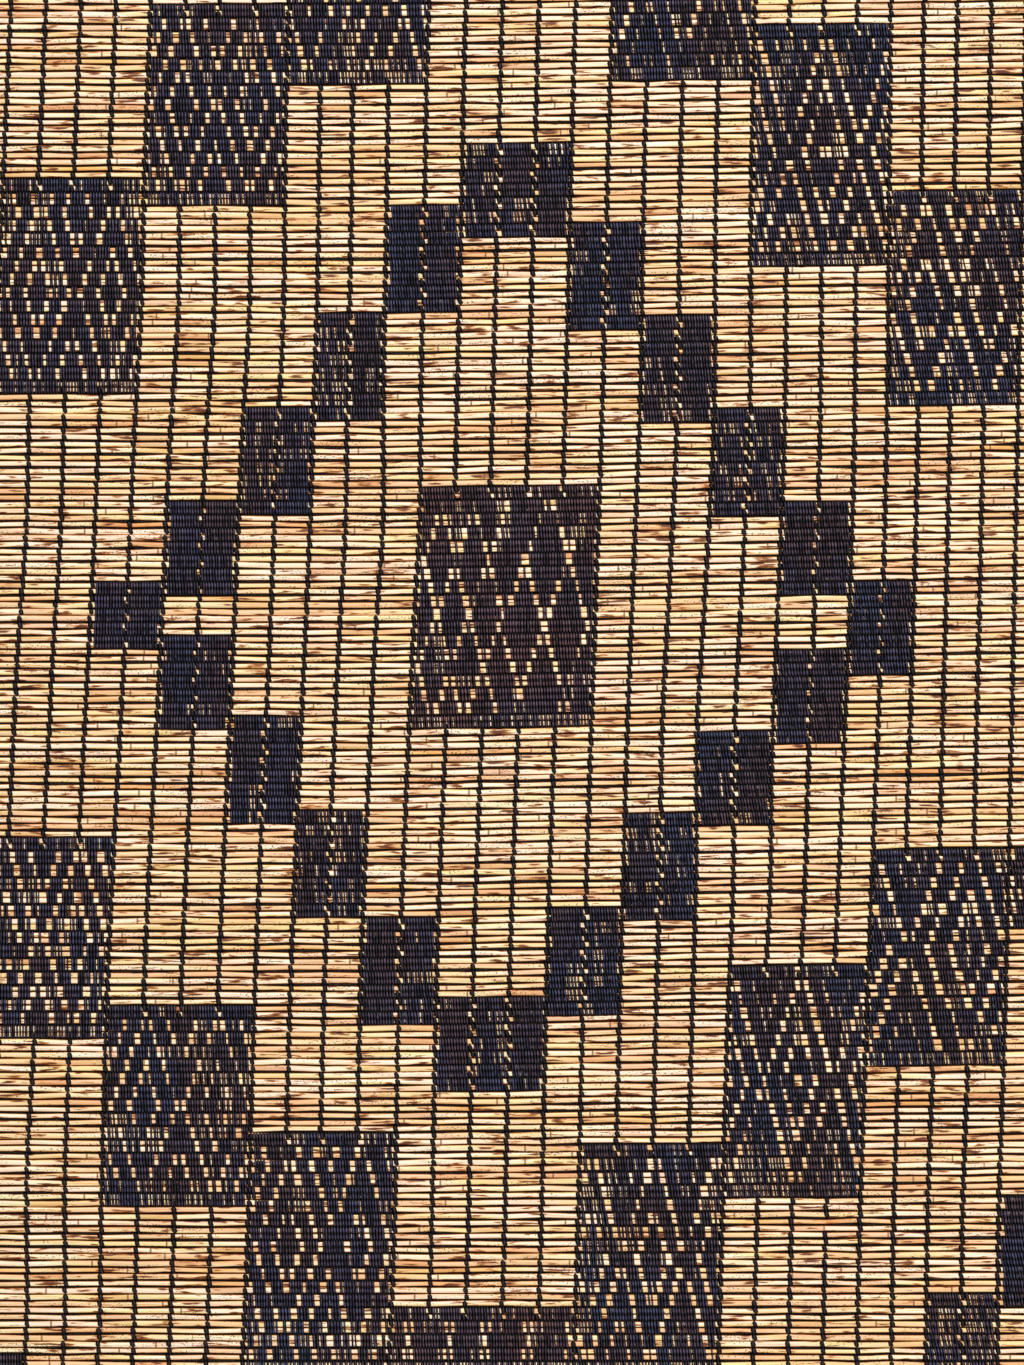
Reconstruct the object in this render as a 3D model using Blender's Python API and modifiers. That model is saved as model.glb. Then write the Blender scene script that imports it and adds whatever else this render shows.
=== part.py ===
"""A cut length of a reed and leather mat, lying flat with its patterned face up.

Thin dried stems lie side by side along X. Leather thongs run along Y, over and under the stems: a pair of
them at every lashing line, and close-set fine ones that fill the dark blocks of the pattern. The frame has
its origin under the middle of the mat, +Z up, and +Y towards the end with the first rod. Metres.
"""

from collections import namedtuple
from math import exp

import bmesh
import bpy

# Rods
RODS = 208
ROD_PITCH = 0.00216
ROD_DIAMETER = 0.0020
WEB_SHARE = 0.5  # thickness between two rods, as a share of the rod's
SHOULDER = 0.28  # where a rod reaches its full height, in pitches from its edge

# Lashing lines, counted from the left, and how far they stray from an even, upright grid
LINES = 31
LINE_PITCH = 0.01144
LEAN = 0.0325  # sideways run of a line for each metre up the mat
FAN = 0.000856  # how much closer the lines stand for each metre up the mat
EDGE_LINES = 0.5  # rods run on past the outer lines by this many pitches
Wander = namedtuple("Wander", "line shift reach")
WANDERS = (
    Wander(line=20.0, shift=0.0029, reach=5.0),
    Wander(line=10.5, shift=-0.0013, reach=1.3),
)

# Leather
THONG_WIDTH = 0.00145
LEATHER = 0.0006
GROOVE_SHARE = 0.45  # thickness of a block in the groove between two bands, as a share of the rest
CLEARANCE = 0.0003  # from the rods to the leather round them
TURN = 0.0007  # from the end rod to the fold of the thong that turns round it

LENGTH = RODS * ROD_PITCH
MID_Z = LEATHER + CLEARANCE + ROD_DIAMETER / 2

# The dark blocks, from the first rod's end: the lines they run between, their first rod, and their
# number of bands, each of which is a float over two rods
Block = namedtuple("Block", "name first_line last_line first_rod bands")
BLOCKS = (
    Block("upper_left_inner", 8, 12, 1, 7),
    Block("upper_left_middle", 4, 8, 3, 15),
    Block("upper_left_outer", 0, 4, 29, 16),
    Block("upper_right_inner", 17, 21, 1, 7),
    Block("upper_right_middle", 21, 25, 7, 18),
    Block("upper_right_outer", 25, 29, 32, 16),
    Block("ring_top", 13, 16, 24, 7),
    Block("ring_left_1", 11, 13, 33, 8),
    Block("ring_left_2", 9, 11, 49, 8),
    Block("ring_left_3", 7, 9, 63, 8),
    Block("ring_left_4", 5, 7, 77, 7),
    Block("ring_left_5", 3, 5, 89, 5),
    Block("ring_left_6", 5, 7, 97, 7),
    Block("ring_left_7", 7, 9, 109, 8),
    Block("ring_left_8", 9, 11, 123, 8),
    Block("ring_left_9", 11, 13, 139, 8),
    Block("ring_right_1", 16, 18, 36, 8),
    Block("ring_right_2", 18, 20, 50, 8),
    Block("ring_right_3", 20, 22, 64, 8),
    Block("ring_right_4", 22, 24, 78, 7),
    Block("ring_right_5", 24, 26, 90, 7),
    Block("ring_right_6", 22, 24, 100, 7),
    Block("ring_right_7", 20, 22, 112, 7),
    Block("ring_right_8", 18, 20, 124, 8),
    Block("ring_right_9", 16, 18, 138, 8),
    Block("ring_bottom", 13, 16, 151, 7),
    Block("centre", 12, 17, 75, 18),
    Block("lower_left_outer", 0, 4, 127, 15),
    Block("lower_left_middle", 4, 8, 152, 15),
    Block("lower_left_inner", 8, 12, 171, 18),
    Block("lower_middle", 12, 17, 197, 5),
    Block("lower_right_inner", 17, 21, 173, 17),
    Block("lower_right_middle", 21, 25, 147, 17),
    Block("lower_right_outer", 25, 29, 130, 16),
    Block("right_edge", 29, 30, 130, 6),
    Block("lower_right_edge", 29, 30, 181, 8),
    Block("lower_right_corner", 27, 29, 195, 6),
    Block("lower_left_corner", 0, 2, 204, 2),
)

REED_COLOUR = (0.86, 0.66, 0.36, 1.0)
LEATHER_COLOUR = (0.018, 0.018, 0.030, 1.0)


def clear_scene():
    for obj in list(bpy.data.objects):
        bpy.data.objects.remove(obj, do_unlink=True)


def make_material(name, colour, roughness):
    material = bpy.data.materials.new(name)
    material.use_nodes = True
    shader = material.node_tree.nodes["Principled BSDF"]
    shader.inputs["Base Color"].default_value = colour
    shader.inputs["Roughness"].default_value = roughness
    shader.inputs["Metallic"].default_value = 0.0
    return material


def rod_edge(rod):
    """Y of a rod's upper edge. Half numbers fall on the rod's middle."""
    return LENGTH / 2 - rod * ROD_PITCH


def leaning_line(line, y):
    wander = sum(w.shift * exp(-(((line - w.line) / w.reach) ** 2)) for w in WANDERS)
    return (line - (LINES - 1) / 2) * (LINE_PITCH - FAN * y) + LEAN * y + wander


# Puts the middle of the mat's box at X = 0
CENTRING = -(
    leaning_line(-EDGE_LINES, -LENGTH / 2)
    + leaning_line(LINES - 1 + EDGE_LINES, LENGTH / 2)
) / 2


def line_x(line, y):
    """X of a lashing line, or of a place between two, at a height up the mat."""
    return leaning_line(line, y) + CENTRING


def cross_rows():
    """Where a section is needed: each rod's edge and its two shoulders, counted in rods, up the mat."""
    places = [rod - part for rod in range(RODS, 0, -1) for part in (0, SHOULDER, 1 - SHOULDER)]
    return places + [0]


def sheet_from_grid(name, columns, rows, place, keep, share, solidify, material):
    """An open grid of columns by rows, cut to the cells that keep() accepts, then given its thickness."""
    mesh_data = bmesh.new()
    layer = mesh_data.verts.layers.deform.new()
    bmesh.ops.create_grid(
        mesh_data, x_segments=columns - 1, y_segments=rows - 1, size=0.5
    )
    cell = {
        vert: (
            round((vert.co.x + 0.5) * (columns - 1)),
            round((vert.co.y + 0.5) * (rows - 1)),
        )
        for vert in mesh_data.verts
    }
    unwanted = [
        face
        for face in mesh_data.faces
        if not keep(
            min(cell[vert][0] for vert in face.verts),
            min(cell[vert][1] for vert in face.verts),
        )
    ]
    for vert, (column, row) in cell.items():
        vert.co = place(column, row)
        vert[layer][0] = share(column, row)
    bmesh.ops.delete(mesh_data, geom=unwanted, context="FACES")
    bmesh.ops.remove_doubles(mesh_data, verts=mesh_data.verts, dist=1e-6)

    mesh = bpy.data.meshes.new(name)
    mesh_data.to_mesh(mesh)
    mesh_data.free()
    mesh.materials.append(material)
    sheet = bpy.data.objects.new(name, mesh)
    sheet.vertex_groups.new(name="thickness")
    wall = sheet.modifiers.new("thickness", "SOLIDIFY")
    wall.vertex_group = "thickness"
    for setting, value in solidify.items():
        setattr(wall, setting, value)
    return sheet


def make_rods(material):
    """All the rods as one ribbed sheet, thin between the rods, its ends cut along the outer lashings."""
    rows = cross_rows()
    ends = (-EDGE_LINES, LINES - 1 + EDGE_LINES)

    def place(column, row):
        y = rod_edge(rows[row])
        return line_x(ends[column], y), y, MID_Z

    def share(_column, row):
        return WEB_SHARE if rows[row] == int(rows[row]) else 1.0

    return sheet_from_grid(
        "rods",
        len(ends),
        len(rows),
        place,
        lambda column, row: True,
        share,
        {"thickness": ROD_DIAMETER, "offset": 0.0},
        material,
    )


def block_at(line, rod):
    """The block that covers a place, or None. On an edge that two blocks share it is the first of them."""
    for block in BLOCKS:
        last_rod = block.first_rod + 2 * block.bands
        if block.first_line <= line <= block.last_line and block.first_rod <= rod <= last_rod:
            return block
    return None


def make_leather(material):
    """The woven leather as one belt: up the front, round the first rod, down the back, round the last."""
    front_z = MID_Z + ROD_DIAMETER / 2 + CLEARANCE
    back_z = MID_Z - ROD_DIAMETER / 2 - CLEARANCE
    places = cross_rows()
    Row = namedtuple("Row", "side rod y z")
    front = [Row("front", rod, rod_edge(rod), front_z) for rod in places]
    back = [Row("back", rod, rod_edge(rod), back_z) for rod in reversed(places)]
    first_fold = Row("fold", 0, rod_edge(0) + TURN, MID_Z)
    last_fold = Row("fold", RODS, rod_edge(RODS) - TURN, MID_Z)
    belt = front + [first_fold] + back + [last_fold] + front[:1]

    def place(column, row):
        side = 0.5 if column % 2 else -0.5
        x = line_x(column // 2, belt[row].y) + side * THONG_WIDTH
        return x, belt[row].y, belt[row].z

    def keep(column, row):
        if column % 2 == 0:
            return True
        here, following = belt[row], belt[row + 1]
        if "fold" in (here.side, following.side):
            return False
        return block_at(column / 2, (here.rod + following.rod) / 2) is not None

    def share(column, row):
        here = belt[row]
        block = block_at(column // 2, here.rod)
        if here.side != "front" or block is None:
            return 1.0
        grooves = range(block.first_rod + 2, block.first_rod + 2 * block.bands, 2)
        return GROOVE_SHARE if here.rod in grooves else 1.0

    return sheet_from_grid(
        "leather",
        2 * LINES,
        len(belt),
        place,
        keep,
        share,
        {"thickness": LEATHER, "offset": 1.0},
        material,
    )


def main():
    clear_scene()
    collection = bpy.data.collections.new("reed_and_leather_mat")
    bpy.context.scene.collection.children.link(collection)
    collection.objects.link(make_rods(make_material("reed", REED_COLOUR, 0.6)))
    collection.objects.link(make_leather(make_material("goat_leather", LEATHER_COLOUR, 0.5)))


main()
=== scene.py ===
"""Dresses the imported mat: dried reeds, twined leather lashings, woven thong blocks, light and camera.

Sizes and tables that the CAD part also has are repeated here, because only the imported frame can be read.
The mat lies flat, reeds along X, lashings along Y, patterned face up. Metres.
"""

import random
from collections import namedtuple
from math import cos, exp, pi, radians, sqrt

import bpy
import numpy as np
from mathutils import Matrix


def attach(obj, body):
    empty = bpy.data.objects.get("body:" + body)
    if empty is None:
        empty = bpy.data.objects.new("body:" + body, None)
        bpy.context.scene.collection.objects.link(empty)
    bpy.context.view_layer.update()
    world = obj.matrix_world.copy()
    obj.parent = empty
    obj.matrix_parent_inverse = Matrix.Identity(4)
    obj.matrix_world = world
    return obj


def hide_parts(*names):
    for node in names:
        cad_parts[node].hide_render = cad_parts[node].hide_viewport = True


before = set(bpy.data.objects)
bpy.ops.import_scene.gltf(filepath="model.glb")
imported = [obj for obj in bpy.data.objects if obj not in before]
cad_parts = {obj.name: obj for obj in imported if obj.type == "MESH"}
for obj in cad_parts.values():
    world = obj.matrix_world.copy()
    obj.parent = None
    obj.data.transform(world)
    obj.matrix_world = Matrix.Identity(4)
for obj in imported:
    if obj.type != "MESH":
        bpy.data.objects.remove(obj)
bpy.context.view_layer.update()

# Reeds, as in the CAD part
RODS = 208
ROD_PITCH = 0.00216
ROD_DIAMETER = 0.0020
LENGTH = RODS * ROD_PITCH
LEATHER = 0.0006
CLEARANCE = 0.0003
MID_Z = LEATHER + CLEARANCE + ROD_DIAMETER / 2

# Lashing lines, as in the CAD part
LINES = 31
LINE_PITCH = 0.01144
LEAN = 0.0325
FAN = 0.000856
EDGE_LINES = 0.5

# Each wander pulls the lines round one place sideways, and fades over the given numbers of lines and
# rods. The CAD part has the first two. The rest, none over 3 mm, are the hand work that it leaves out.
Wander = namedtuple("Wander", "line rod shift lines rods")
FOREVER = 100000
WANDERS = (
    Wander(line=20.0, rod=0, shift=0.0029, lines=5.0, rods=FOREVER),
    Wander(line=10.5, rod=0, shift=-0.0013, lines=1.3, rods=FOREVER),
    Wander(line=10, rod=8, shift=-0.0010, lines=4.0, rods=22),
    Wander(line=6, rod=48, shift=0.0014, lines=2.5, rods=14),
    Wander(line=20, rod=64, shift=0.0015, lines=2.5, rods=22),
    Wander(line=1, rod=80, shift=0.0011, lines=1.5, rods=14),
    Wander(line=11, rod=80, shift=0.0014, lines=1.5, rods=14),
    Wander(line=24, rod=80, shift=0.0030, lines=2.5, rods=60),
    Wander(line=11, rod=88, shift=0.0014, lines=6.0, rods=60),
    Wander(line=20, rod=112, shift=-0.0011, lines=1.5, rods=14),
    Wander(line=22, rod=136, shift=0.0009, lines=1.5, rods=14),
    Wander(line=4, rod=144, shift=-0.0010, lines=2.5, rods=35),
    Wander(line=1, rod=176, shift=-0.0015, lines=1.5, rods=14),
    Wander(line=28, rod=184, shift=-0.0011, lines=2.5, rods=22),
    Wander(line=12, rod=192, shift=0.0021, lines=6.0, rods=35),
    Wander(line=3, rod=200, shift=0.0015, lines=1.5, rods=14),
)

# The photo's view, and how the reeds rise to the right in it
PHOTO_X = 0.0023  # the middle of the photo
PHOTO_HEIGHT = 0.4388  # the length of mat that the photo shows
LENS = 100.0
SENSOR = 36.0
RISE_FROM = -0.037
RISE_SLOPE = 0.0157
RISE_BEND = 0.012  # how gently the rise sets in
RISE_FULL_Y = -0.102
RISE_NONE_Y = -0.205

# The dark blocks, as in the CAD part, with the piece that each belongs to
Block = namedtuple("Block", "piece name first_line last_line first_rod bands")
BLOCKS = (
    Block("upper", "upper_left_inner", 8, 12, 1, 7),
    Block("upper", "upper_left_middle", 4, 8, 3, 15),
    Block("upper", "upper_left_outer", 0, 4, 29, 16),
    Block("upper", "upper_right_inner", 17, 21, 1, 7),
    Block("upper", "upper_right_middle", 21, 25, 7, 18),
    Block("upper", "upper_right_outer", 25, 29, 32, 16),
    Block("ring", "ring_top", 13, 16, 24, 7),
    Block("ring", "ring_left_1", 11, 13, 33, 8),
    Block("ring", "ring_left_2", 9, 11, 49, 8),
    Block("ring", "ring_left_3", 7, 9, 63, 8),
    Block("ring", "ring_left_4", 5, 7, 77, 7),
    Block("ring", "ring_left_5", 3, 5, 89, 5),
    Block("ring", "ring_left_6", 5, 7, 97, 7),
    Block("ring", "ring_left_7", 7, 9, 109, 8),
    Block("ring", "ring_left_8", 9, 11, 123, 8),
    Block("ring", "ring_left_9", 11, 13, 139, 8),
    Block("ring", "ring_right_1", 16, 18, 36, 8),
    Block("ring", "ring_right_2", 18, 20, 50, 8),
    Block("ring", "ring_right_3", 20, 22, 64, 8),
    Block("ring", "ring_right_4", 22, 24, 78, 7),
    Block("ring", "ring_right_5", 24, 26, 90, 7),
    Block("ring", "ring_right_6", 22, 24, 100, 7),
    Block("ring", "ring_right_7", 20, 22, 112, 7),
    Block("ring", "ring_right_8", 18, 20, 124, 8),
    Block("ring", "ring_right_9", 16, 18, 138, 8),
    Block("ring", "ring_bottom", 13, 16, 151, 7),
    Block("centre", "centre", 12, 17, 75, 18),
    Block("lower_left", "lower_left_outer", 0, 4, 127, 15),
    Block("lower_left", "lower_left_middle", 4, 8, 152, 15),
    Block("lower_left", "lower_left_inner", 8, 12, 171, 18),
    Block("centre", "lower_middle", 12, 17, 197, 5),
    Block("lower_right", "lower_right_inner", 17, 21, 173, 17),
    Block("lower_right", "lower_right_middle", 21, 25, 147, 17),
    Block("lower_right", "lower_right_outer", 25, 29, 130, 16),
    Block("lower_right", "right_edge", 29, 30, 130, 6),
    Block("lower_right", "lower_right_edge", 29, 30, 181, 8),
    Block("lower_right", "lower_right_corner", 27, 29, 195, 6),
    Block("lower_left", "lower_left_corner", 0, 2, 204, 2),
)
PAIR_SQUEEZE = 0.00014  # how far the two rods under a float are drawn together, each

# Leather
LASHING_WIDTH = 0.00162
LASHING_THICKNESS = 0.00055
THONG_PITCH = 0.00092
THONG_THICKNESS = 0.0005
BACK_THONG_PITCH = 0.00127
FRONT_WIDTHS = (0.98, 1.10)  # of the thongs, against their pitch
BACK_WIDTHS = (0.92, 1.04)

# marks is 1 at a reed's node and a number of its own on each thong. along counts lashings on a reed, and
# on a thong the rods from the middle of a float, so that a half is where it rides highest.
Strand = namedtuple("Strand", "points widths marks along")

# One point of a stitch or a float: how many rods down from its middle, how high above the middle of the
# mat, and how wide against the rest of the thong
Crossing = namedtuple("Crossing", "down z width")


def linear(hex_colour):
    """An sRGB hex colour as the linear RGBA that Blender's sockets take."""
    channels = [int(hex_colour[start : start + 2], 16) / 255 for start in (0, 2, 4)]
    return (
        *[c / 12.92 if c <= 0.04045 else ((c + 0.055) / 1.055) ** 2.4 for c in channels],
        1.0,
    )


def add(tree, kind, links=None, **settings):
    """Adds a node. links gives an input, by name or number, a value or another node's output."""
    node = tree.nodes.new(kind)
    for name, value in settings.items():
        setattr(node, name, value)
    for place, value in (links or {}).items():
        if isinstance(value, bpy.types.NodeSocket):
            tree.links.new(value, node.inputs[place])
        else:
            node.inputs[place].default_value = value
    return node


# Where things lie


def rise(x, y):
    """How far up the mat a rod has drifted on its way to the right."""
    fade = min(1.0, max(0.0, (y - RISE_NONE_Y) / (RISE_FULL_Y - RISE_NONE_Y)))
    run = x - RISE_FROM
    return RISE_SLOPE * (run + sqrt(run * run + RISE_BEND**2)) / 2 * fade


def rod_edge(rod):
    return LENGTH / 2 - rod * ROD_PITCH


def leaning_line(line, y):
    rod = (LENGTH / 2 - y) / ROD_PITCH
    wander = sum(
        w.shift * exp(-(((line - w.line) / w.lines) ** 2) - ((rod - w.rod) / w.rods) ** 2)
        for w in WANDERS
    )
    return (line - (LINES - 1) / 2) * (LINE_PITCH - FAN * y) + LEAN * y + wander


CENTRING = -(
    leaning_line(-EDGE_LINES, -LENGTH / 2)
    + leaning_line(LINES - 1 + EDGE_LINES, LENGTH / 2)
) / 2


def line_x(line, y):
    return leaning_line(line, y) + CENTRING


def block_at(line, rod):
    for block in BLOCKS:
        inside = block.first_line < line < block.last_line
        if inside and block.first_rod <= rod < block.first_rod + 2 * block.bands:
            return block
    return None


# Swept strands: every reed and thong is a path that Geometry Nodes give a body

STEM_CORNER = 0.22  # of the stem's width
SHARP_FROM = radians(65)  # leaves only the cut ends of the stems sharp
# The three-cornered section of a thong, against the circle round it
THONG_FOOT = cos(pi / 6)
THONG_RIDGE = 0.75


def strand_tree(name, stem):
    """Gives each path of a mesh of edges a body, and makes it wander where it is told to.

    A stem has a rounded oblong section, and a thong a three-cornered one with its ridge outwards.
    """
    tree = bpy.data.node_groups.new(name, "GeometryNodeTree")
    inputs = (
        ("Paths", "NodeSocketGeometry"),
        ("Width", "NodeSocketFloat"),
        ("Thickness", "NodeSocketFloat"),
        ("Facing", "NodeSocketVector"),
        ("Wander", "NodeSocketFloat"),
        ("Wander Length", "NodeSocketFloat"),
        ("Seed", "NodeSocketFloat"),
        ("Material", "NodeSocketMaterial"),
    )
    for label, kind in inputs:
        tree.interface.new_socket(label, in_out="INPUT", socket_type=kind)
    tree.interface.new_socket("Strands", in_out="OUTPUT", socket_type="NodeSocketGeometry")
    given = add(tree, "NodeGroupInput").outputs

    curves = add(tree, "GeometryNodeMeshToCurve", {"Mesh": given["Paths"]})
    strand = add(
        tree, "GeometryNodeInputNamedAttribute", {"Name": "strand"}, data_type="FLOAT"
    )
    seeded = add(tree, "ShaderNodeMath", {0: strand.outputs[0], 1: given["Seed"]})
    here = add(tree, "GeometryNodeInputPosition")
    scale = add(
        tree, "ShaderNodeMath", {0: 1.0, 1: given["Wander Length"]}, operation="DIVIDE"
    )
    noise = add(
        tree,
        "ShaderNodeTexNoise",
        {"Vector": here.outputs[0], "W": seeded.outputs[0], "Scale": scale.outputs[0]},
        noise_dimensions="4D",
    )
    centred = add(
        tree,
        "ShaderNodeVectorMath",
        {0: noise.outputs["Color"], 1: (0.5, 0.5, 0.5)},
        operation="SUBTRACT",
    )
    offset = add(
        tree,
        "ShaderNodeVectorMath",
        {0: centred.outputs[0], "Scale": given["Wander"]},
        operation="SCALE",
    )
    moved = add(
        tree,
        "GeometryNodeSetPosition",
        {"Geometry": curves.outputs[0], "Offset": offset.outputs[0]},
    )
    facing = add(
        tree,
        "GeometryNodeSetCurveNormal",
        {"Curve": moved.outputs[0], "Normal": given["Facing"]},
        mode="FREE",
    )
    if stem:
        oblong = add(
            tree,
            "GeometryNodeCurvePrimitiveQuadrilateral",
            {"Width": 1.0, "Height": 1.0},
            mode="RECTANGLE",
        )
        outline = add(
            tree,
            "GeometryNodeFilletCurve",
            {"Curve": oblong.outputs[0], "Count": 1, "Radius": STEM_CORNER},
            mode="POLY",
        )
    else:
        corners = add(
            tree,
            "GeometryNodeCurvePrimitiveCircle",
            {"Resolution": 3, "Radius": 0.5},
            mode="RADIUS",
        )
        outline = add(
            tree,
            "GeometryNodeTransform",
            {"Geometry": corners.outputs[0], "Rotation": (0.0, 0.0, pi / 2)},
        )
    size = add(
        tree,
        "ShaderNodeCombineXYZ",
        {"X": given["Width"], "Y": given["Thickness"], "Z": 1.0},
    )
    section = add(
        tree,
        "GeometryNodeTransform",
        {"Geometry": outline.outputs[0], "Scale": size.outputs[0]},
    )
    share = add(
        tree, "GeometryNodeInputNamedAttribute", {"Name": "width"}, data_type="FLOAT"
    )
    body = add(
        tree,
        "GeometryNodeCurveToMesh",
        {
            "Curve": facing.outputs[0],
            "Profile Curve": section.outputs[0],
            "Scale": share.outputs[0],
            "Fill Caps": True,
        },
    )
    smooth = add(tree, "GeometryNodeSetShadeSmooth", {"Geometry": body.outputs[0]})
    real = add(tree, "GeometryNodeRealizeInstances", {"Geometry": smooth.outputs[0]})
    finished = add(
        tree,
        "GeometryNodeSetMaterial",
        {"Geometry": real.outputs[0], "Material": given["Material"]},
    )
    add(tree, "NodeGroupOutput", {0: finished.outputs[0]})
    return tree


def sweep(name, strands, tree, **inputs):
    """A piece whose strands follow the given paths, as a plain mesh."""
    points = [point for strand in strands for point in strand.points]
    edges = []
    start = 0
    for strand in strands:
        edges += [(start + i, start + i + 1) for i in range(len(strand.points) - 1)]
        start += len(strand.points)
    paths = bpy.data.meshes.new(name)
    paths.from_pydata(points, edges, [])
    columns = {
        "width": [w for strand in strands for w in strand.widths],
        "strand": [float(n) for n, strand in enumerate(strands) for _ in strand.points],
        "mark": [m for strand in strands for m in strand.marks],
        "along": [a for strand in strands for a in strand.along],
    }
    for key, values in columns.items():
        paths.attributes.new(key, "FLOAT", "POINT").data.foreach_set("value", values)
    piece = bpy.data.objects.new(name, paths)
    bpy.context.scene.collection.objects.link(piece)

    modifier = piece.modifiers.new("strands", "NODES")
    modifier.node_group = tree
    identifiers = {
        item.name: item.identifier
        for item in tree.interface.items_tree
        if item.in_out == "INPUT"
    }
    for key, value in inputs.items():
        modifier[identifiers[key.replace("_", " ")]] = value
    evaluated = piece.evaluated_get(bpy.context.evaluated_depsgraph_get())
    mesh = bpy.data.meshes.new_from_object(evaluated)
    piece.modifiers.clear()
    piece.data = mesh
    bpy.data.meshes.remove(paths)
    return piece


# Reeds

ROD_WIDTH_SHARE = 0.97
ROD_THICKNESS_SHARE = 0.96
ROD_SIZES = (0.85, 1.02)  # from a thin rod to a thick one
ROD_TAPER = 0.04
ROD_UNEVEN = 0.03
ROD_ENDS = 0.0004  # how unevenly the rods are cut
ROD_STRAY = 0.00027  # how far a rod stands off its row, at most, at a lashing
ROD_LIFT = 0.00004
HELD = 0.3  # the share of its stray that a rod keeps under the floats of a block
HELD_PAST = 0.1  # how far past its outer lines a block still holds a rod, in lashing pitches
NODE_SPACING = (0.07, 0.16)
NODE_REACH = 0.0012
NODE_SWELL = 1.05
NODE_CLEAR = 0.004  # from the last node to the rod's end
REED_SEED = 11


def squeeze(rod, line):
    """How far a rod is drawn towards its partner under the same floats."""
    for block in BLOCKS:
        across = block.first_line - HELD_PAST < line < block.last_line + HELD_PAST
        place = rod - block.first_rod
        if across and 0 <= place < 2 * block.bands:
            return -PAIR_SQUEEZE if place % 2 == 0 else PAIR_SQUEEZE
    return 0.0


def reeds():
    """Each rod runs straight from lashing to lashing, and tilts a little at each."""
    chance = random.Random(REED_SEED)
    lines = [-EDGE_LINES, *range(LINES), LINES - 1 + EDGE_LINES]
    strands = []
    for rod in range(RODS):
        y = rod_edge(rod + 0.5)
        places = [line_x(line, y) for line in lines]
        places[0] += chance.uniform(-ROD_ENDS, ROD_ENDS)
        places[-1] += chance.uniform(-ROD_ENDS, ROD_ENDS)
        body = chance.uniform(*ROD_SIZES)
        taper = chance.uniform(-ROD_TAPER, ROD_TAPER)
        sizes = [
            body + taper * (line / LINES - 0.5) + chance.uniform(-ROD_UNEVEN, ROD_UNEVEN)
            for line in lines
        ]
        strays = []
        for line in lines:
            drawn = squeeze(rod, line)
            stray = chance.uniform(-ROD_STRAY, ROD_STRAY)
            strays.append(drawn + stray * (HELD if drawn else 1.0))
        lifts = [chance.uniform(-ROD_LIFT, ROD_LIFT) for _ in lines]
        marks = dict.fromkeys(places, 0.0)
        node = places[0] + chance.uniform(*NODE_SPACING) / 2
        while node < places[-1] - NODE_CLEAR:
            marks.update({node - NODE_REACH: 0.0, node: 1.0, node + NODE_REACH: 0.0})
            node += chance.uniform(*NODE_SPACING)
        xs = sorted(marks)
        points = [
            (x, y + rise(x, y) + stray, MID_Z + lift)
            for x, stray, lift in zip(
                xs, np.interp(xs, places, strays), np.interp(xs, places, lifts)
            )
        ]
        widths = [
            size * (NODE_SWELL if marks[x] else 1.0)
            for x, size in zip(xs, np.interp(xs, places, sizes))
        ]
        along = list(np.interp(xs, places, lines))
        strands.append(Strand(points, widths, [marks[x] for x in xs], along))
    return strands


# Lashings

FRONT_CROSSING = (
    Crossing(down=-0.32, z=0.00108, width=0.98),
    Crossing(down=0.0, z=0.00128, width=1.0),
    Crossing(down=0.32, z=0.00108, width=0.98),
)
BACK_CROSSING = (
    Crossing(down=-0.26, z=-0.00112, width=1.0),
    Crossing(down=0.26, z=-0.00112, width=1.0),
)
BETWEEN_RODS = 0.8  # width of a stitch there
STITCH_SLANT = 0.00045  # sideways run of a stitch over its rod
SLANT_SPREAD = (0.8, 1.2)
STITCH_SPREAD = (0.9, 1.08)  # of a stitch's width, against its strand's
STRAND_SPREAD = 0.03
STITCH_WOBBLE = 0.00007
STAGGER = 0.00020  # how far a lashing's two strands stand to the sides of its line
CHAIN_STAGGER = 0.00045
LASHING_MARKS = (0.0, 0.25)  # the darkest of the thongs' shades
LASHING_SEED = 100

NARROW_LINES = 3  # a block as narrow as this keeps its inner lashings
Skip = namedtuple("Skip", "line first_rod last_rod")
SKIPS = (Skip(line=24, first_rod=184, last_rod=185),)  # where a lashing misses some rods


def pitches_across(block):
    return block.last_line - block.first_line


def is_narrow(block):
    return pitches_across(block) <= NARROW_LINES


def covered(line, rod):
    """A wide block hides the lashings inside it, but for its first band and its last rod."""
    if any(skip.line == line and skip.first_rod <= rod <= skip.last_rod for skip in SKIPS):
        return True
    block = block_at(line, rod)
    if block is None or is_narrow(block):
        return False
    return 2 <= rod - block.first_rod < 2 * block.bands - 1


def stagger_at(line, rod, turn):
    """How far a stitch stands aside: more in a block, where every other stitch leaves a rod bare."""
    block = block_at(line, rod)
    if block is None:
        return STAGGER if turn else -STAGGER
    return -CHAIN_STAGGER if (rod - block.first_rod) % 2 else CHAIN_STAGGER


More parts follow.
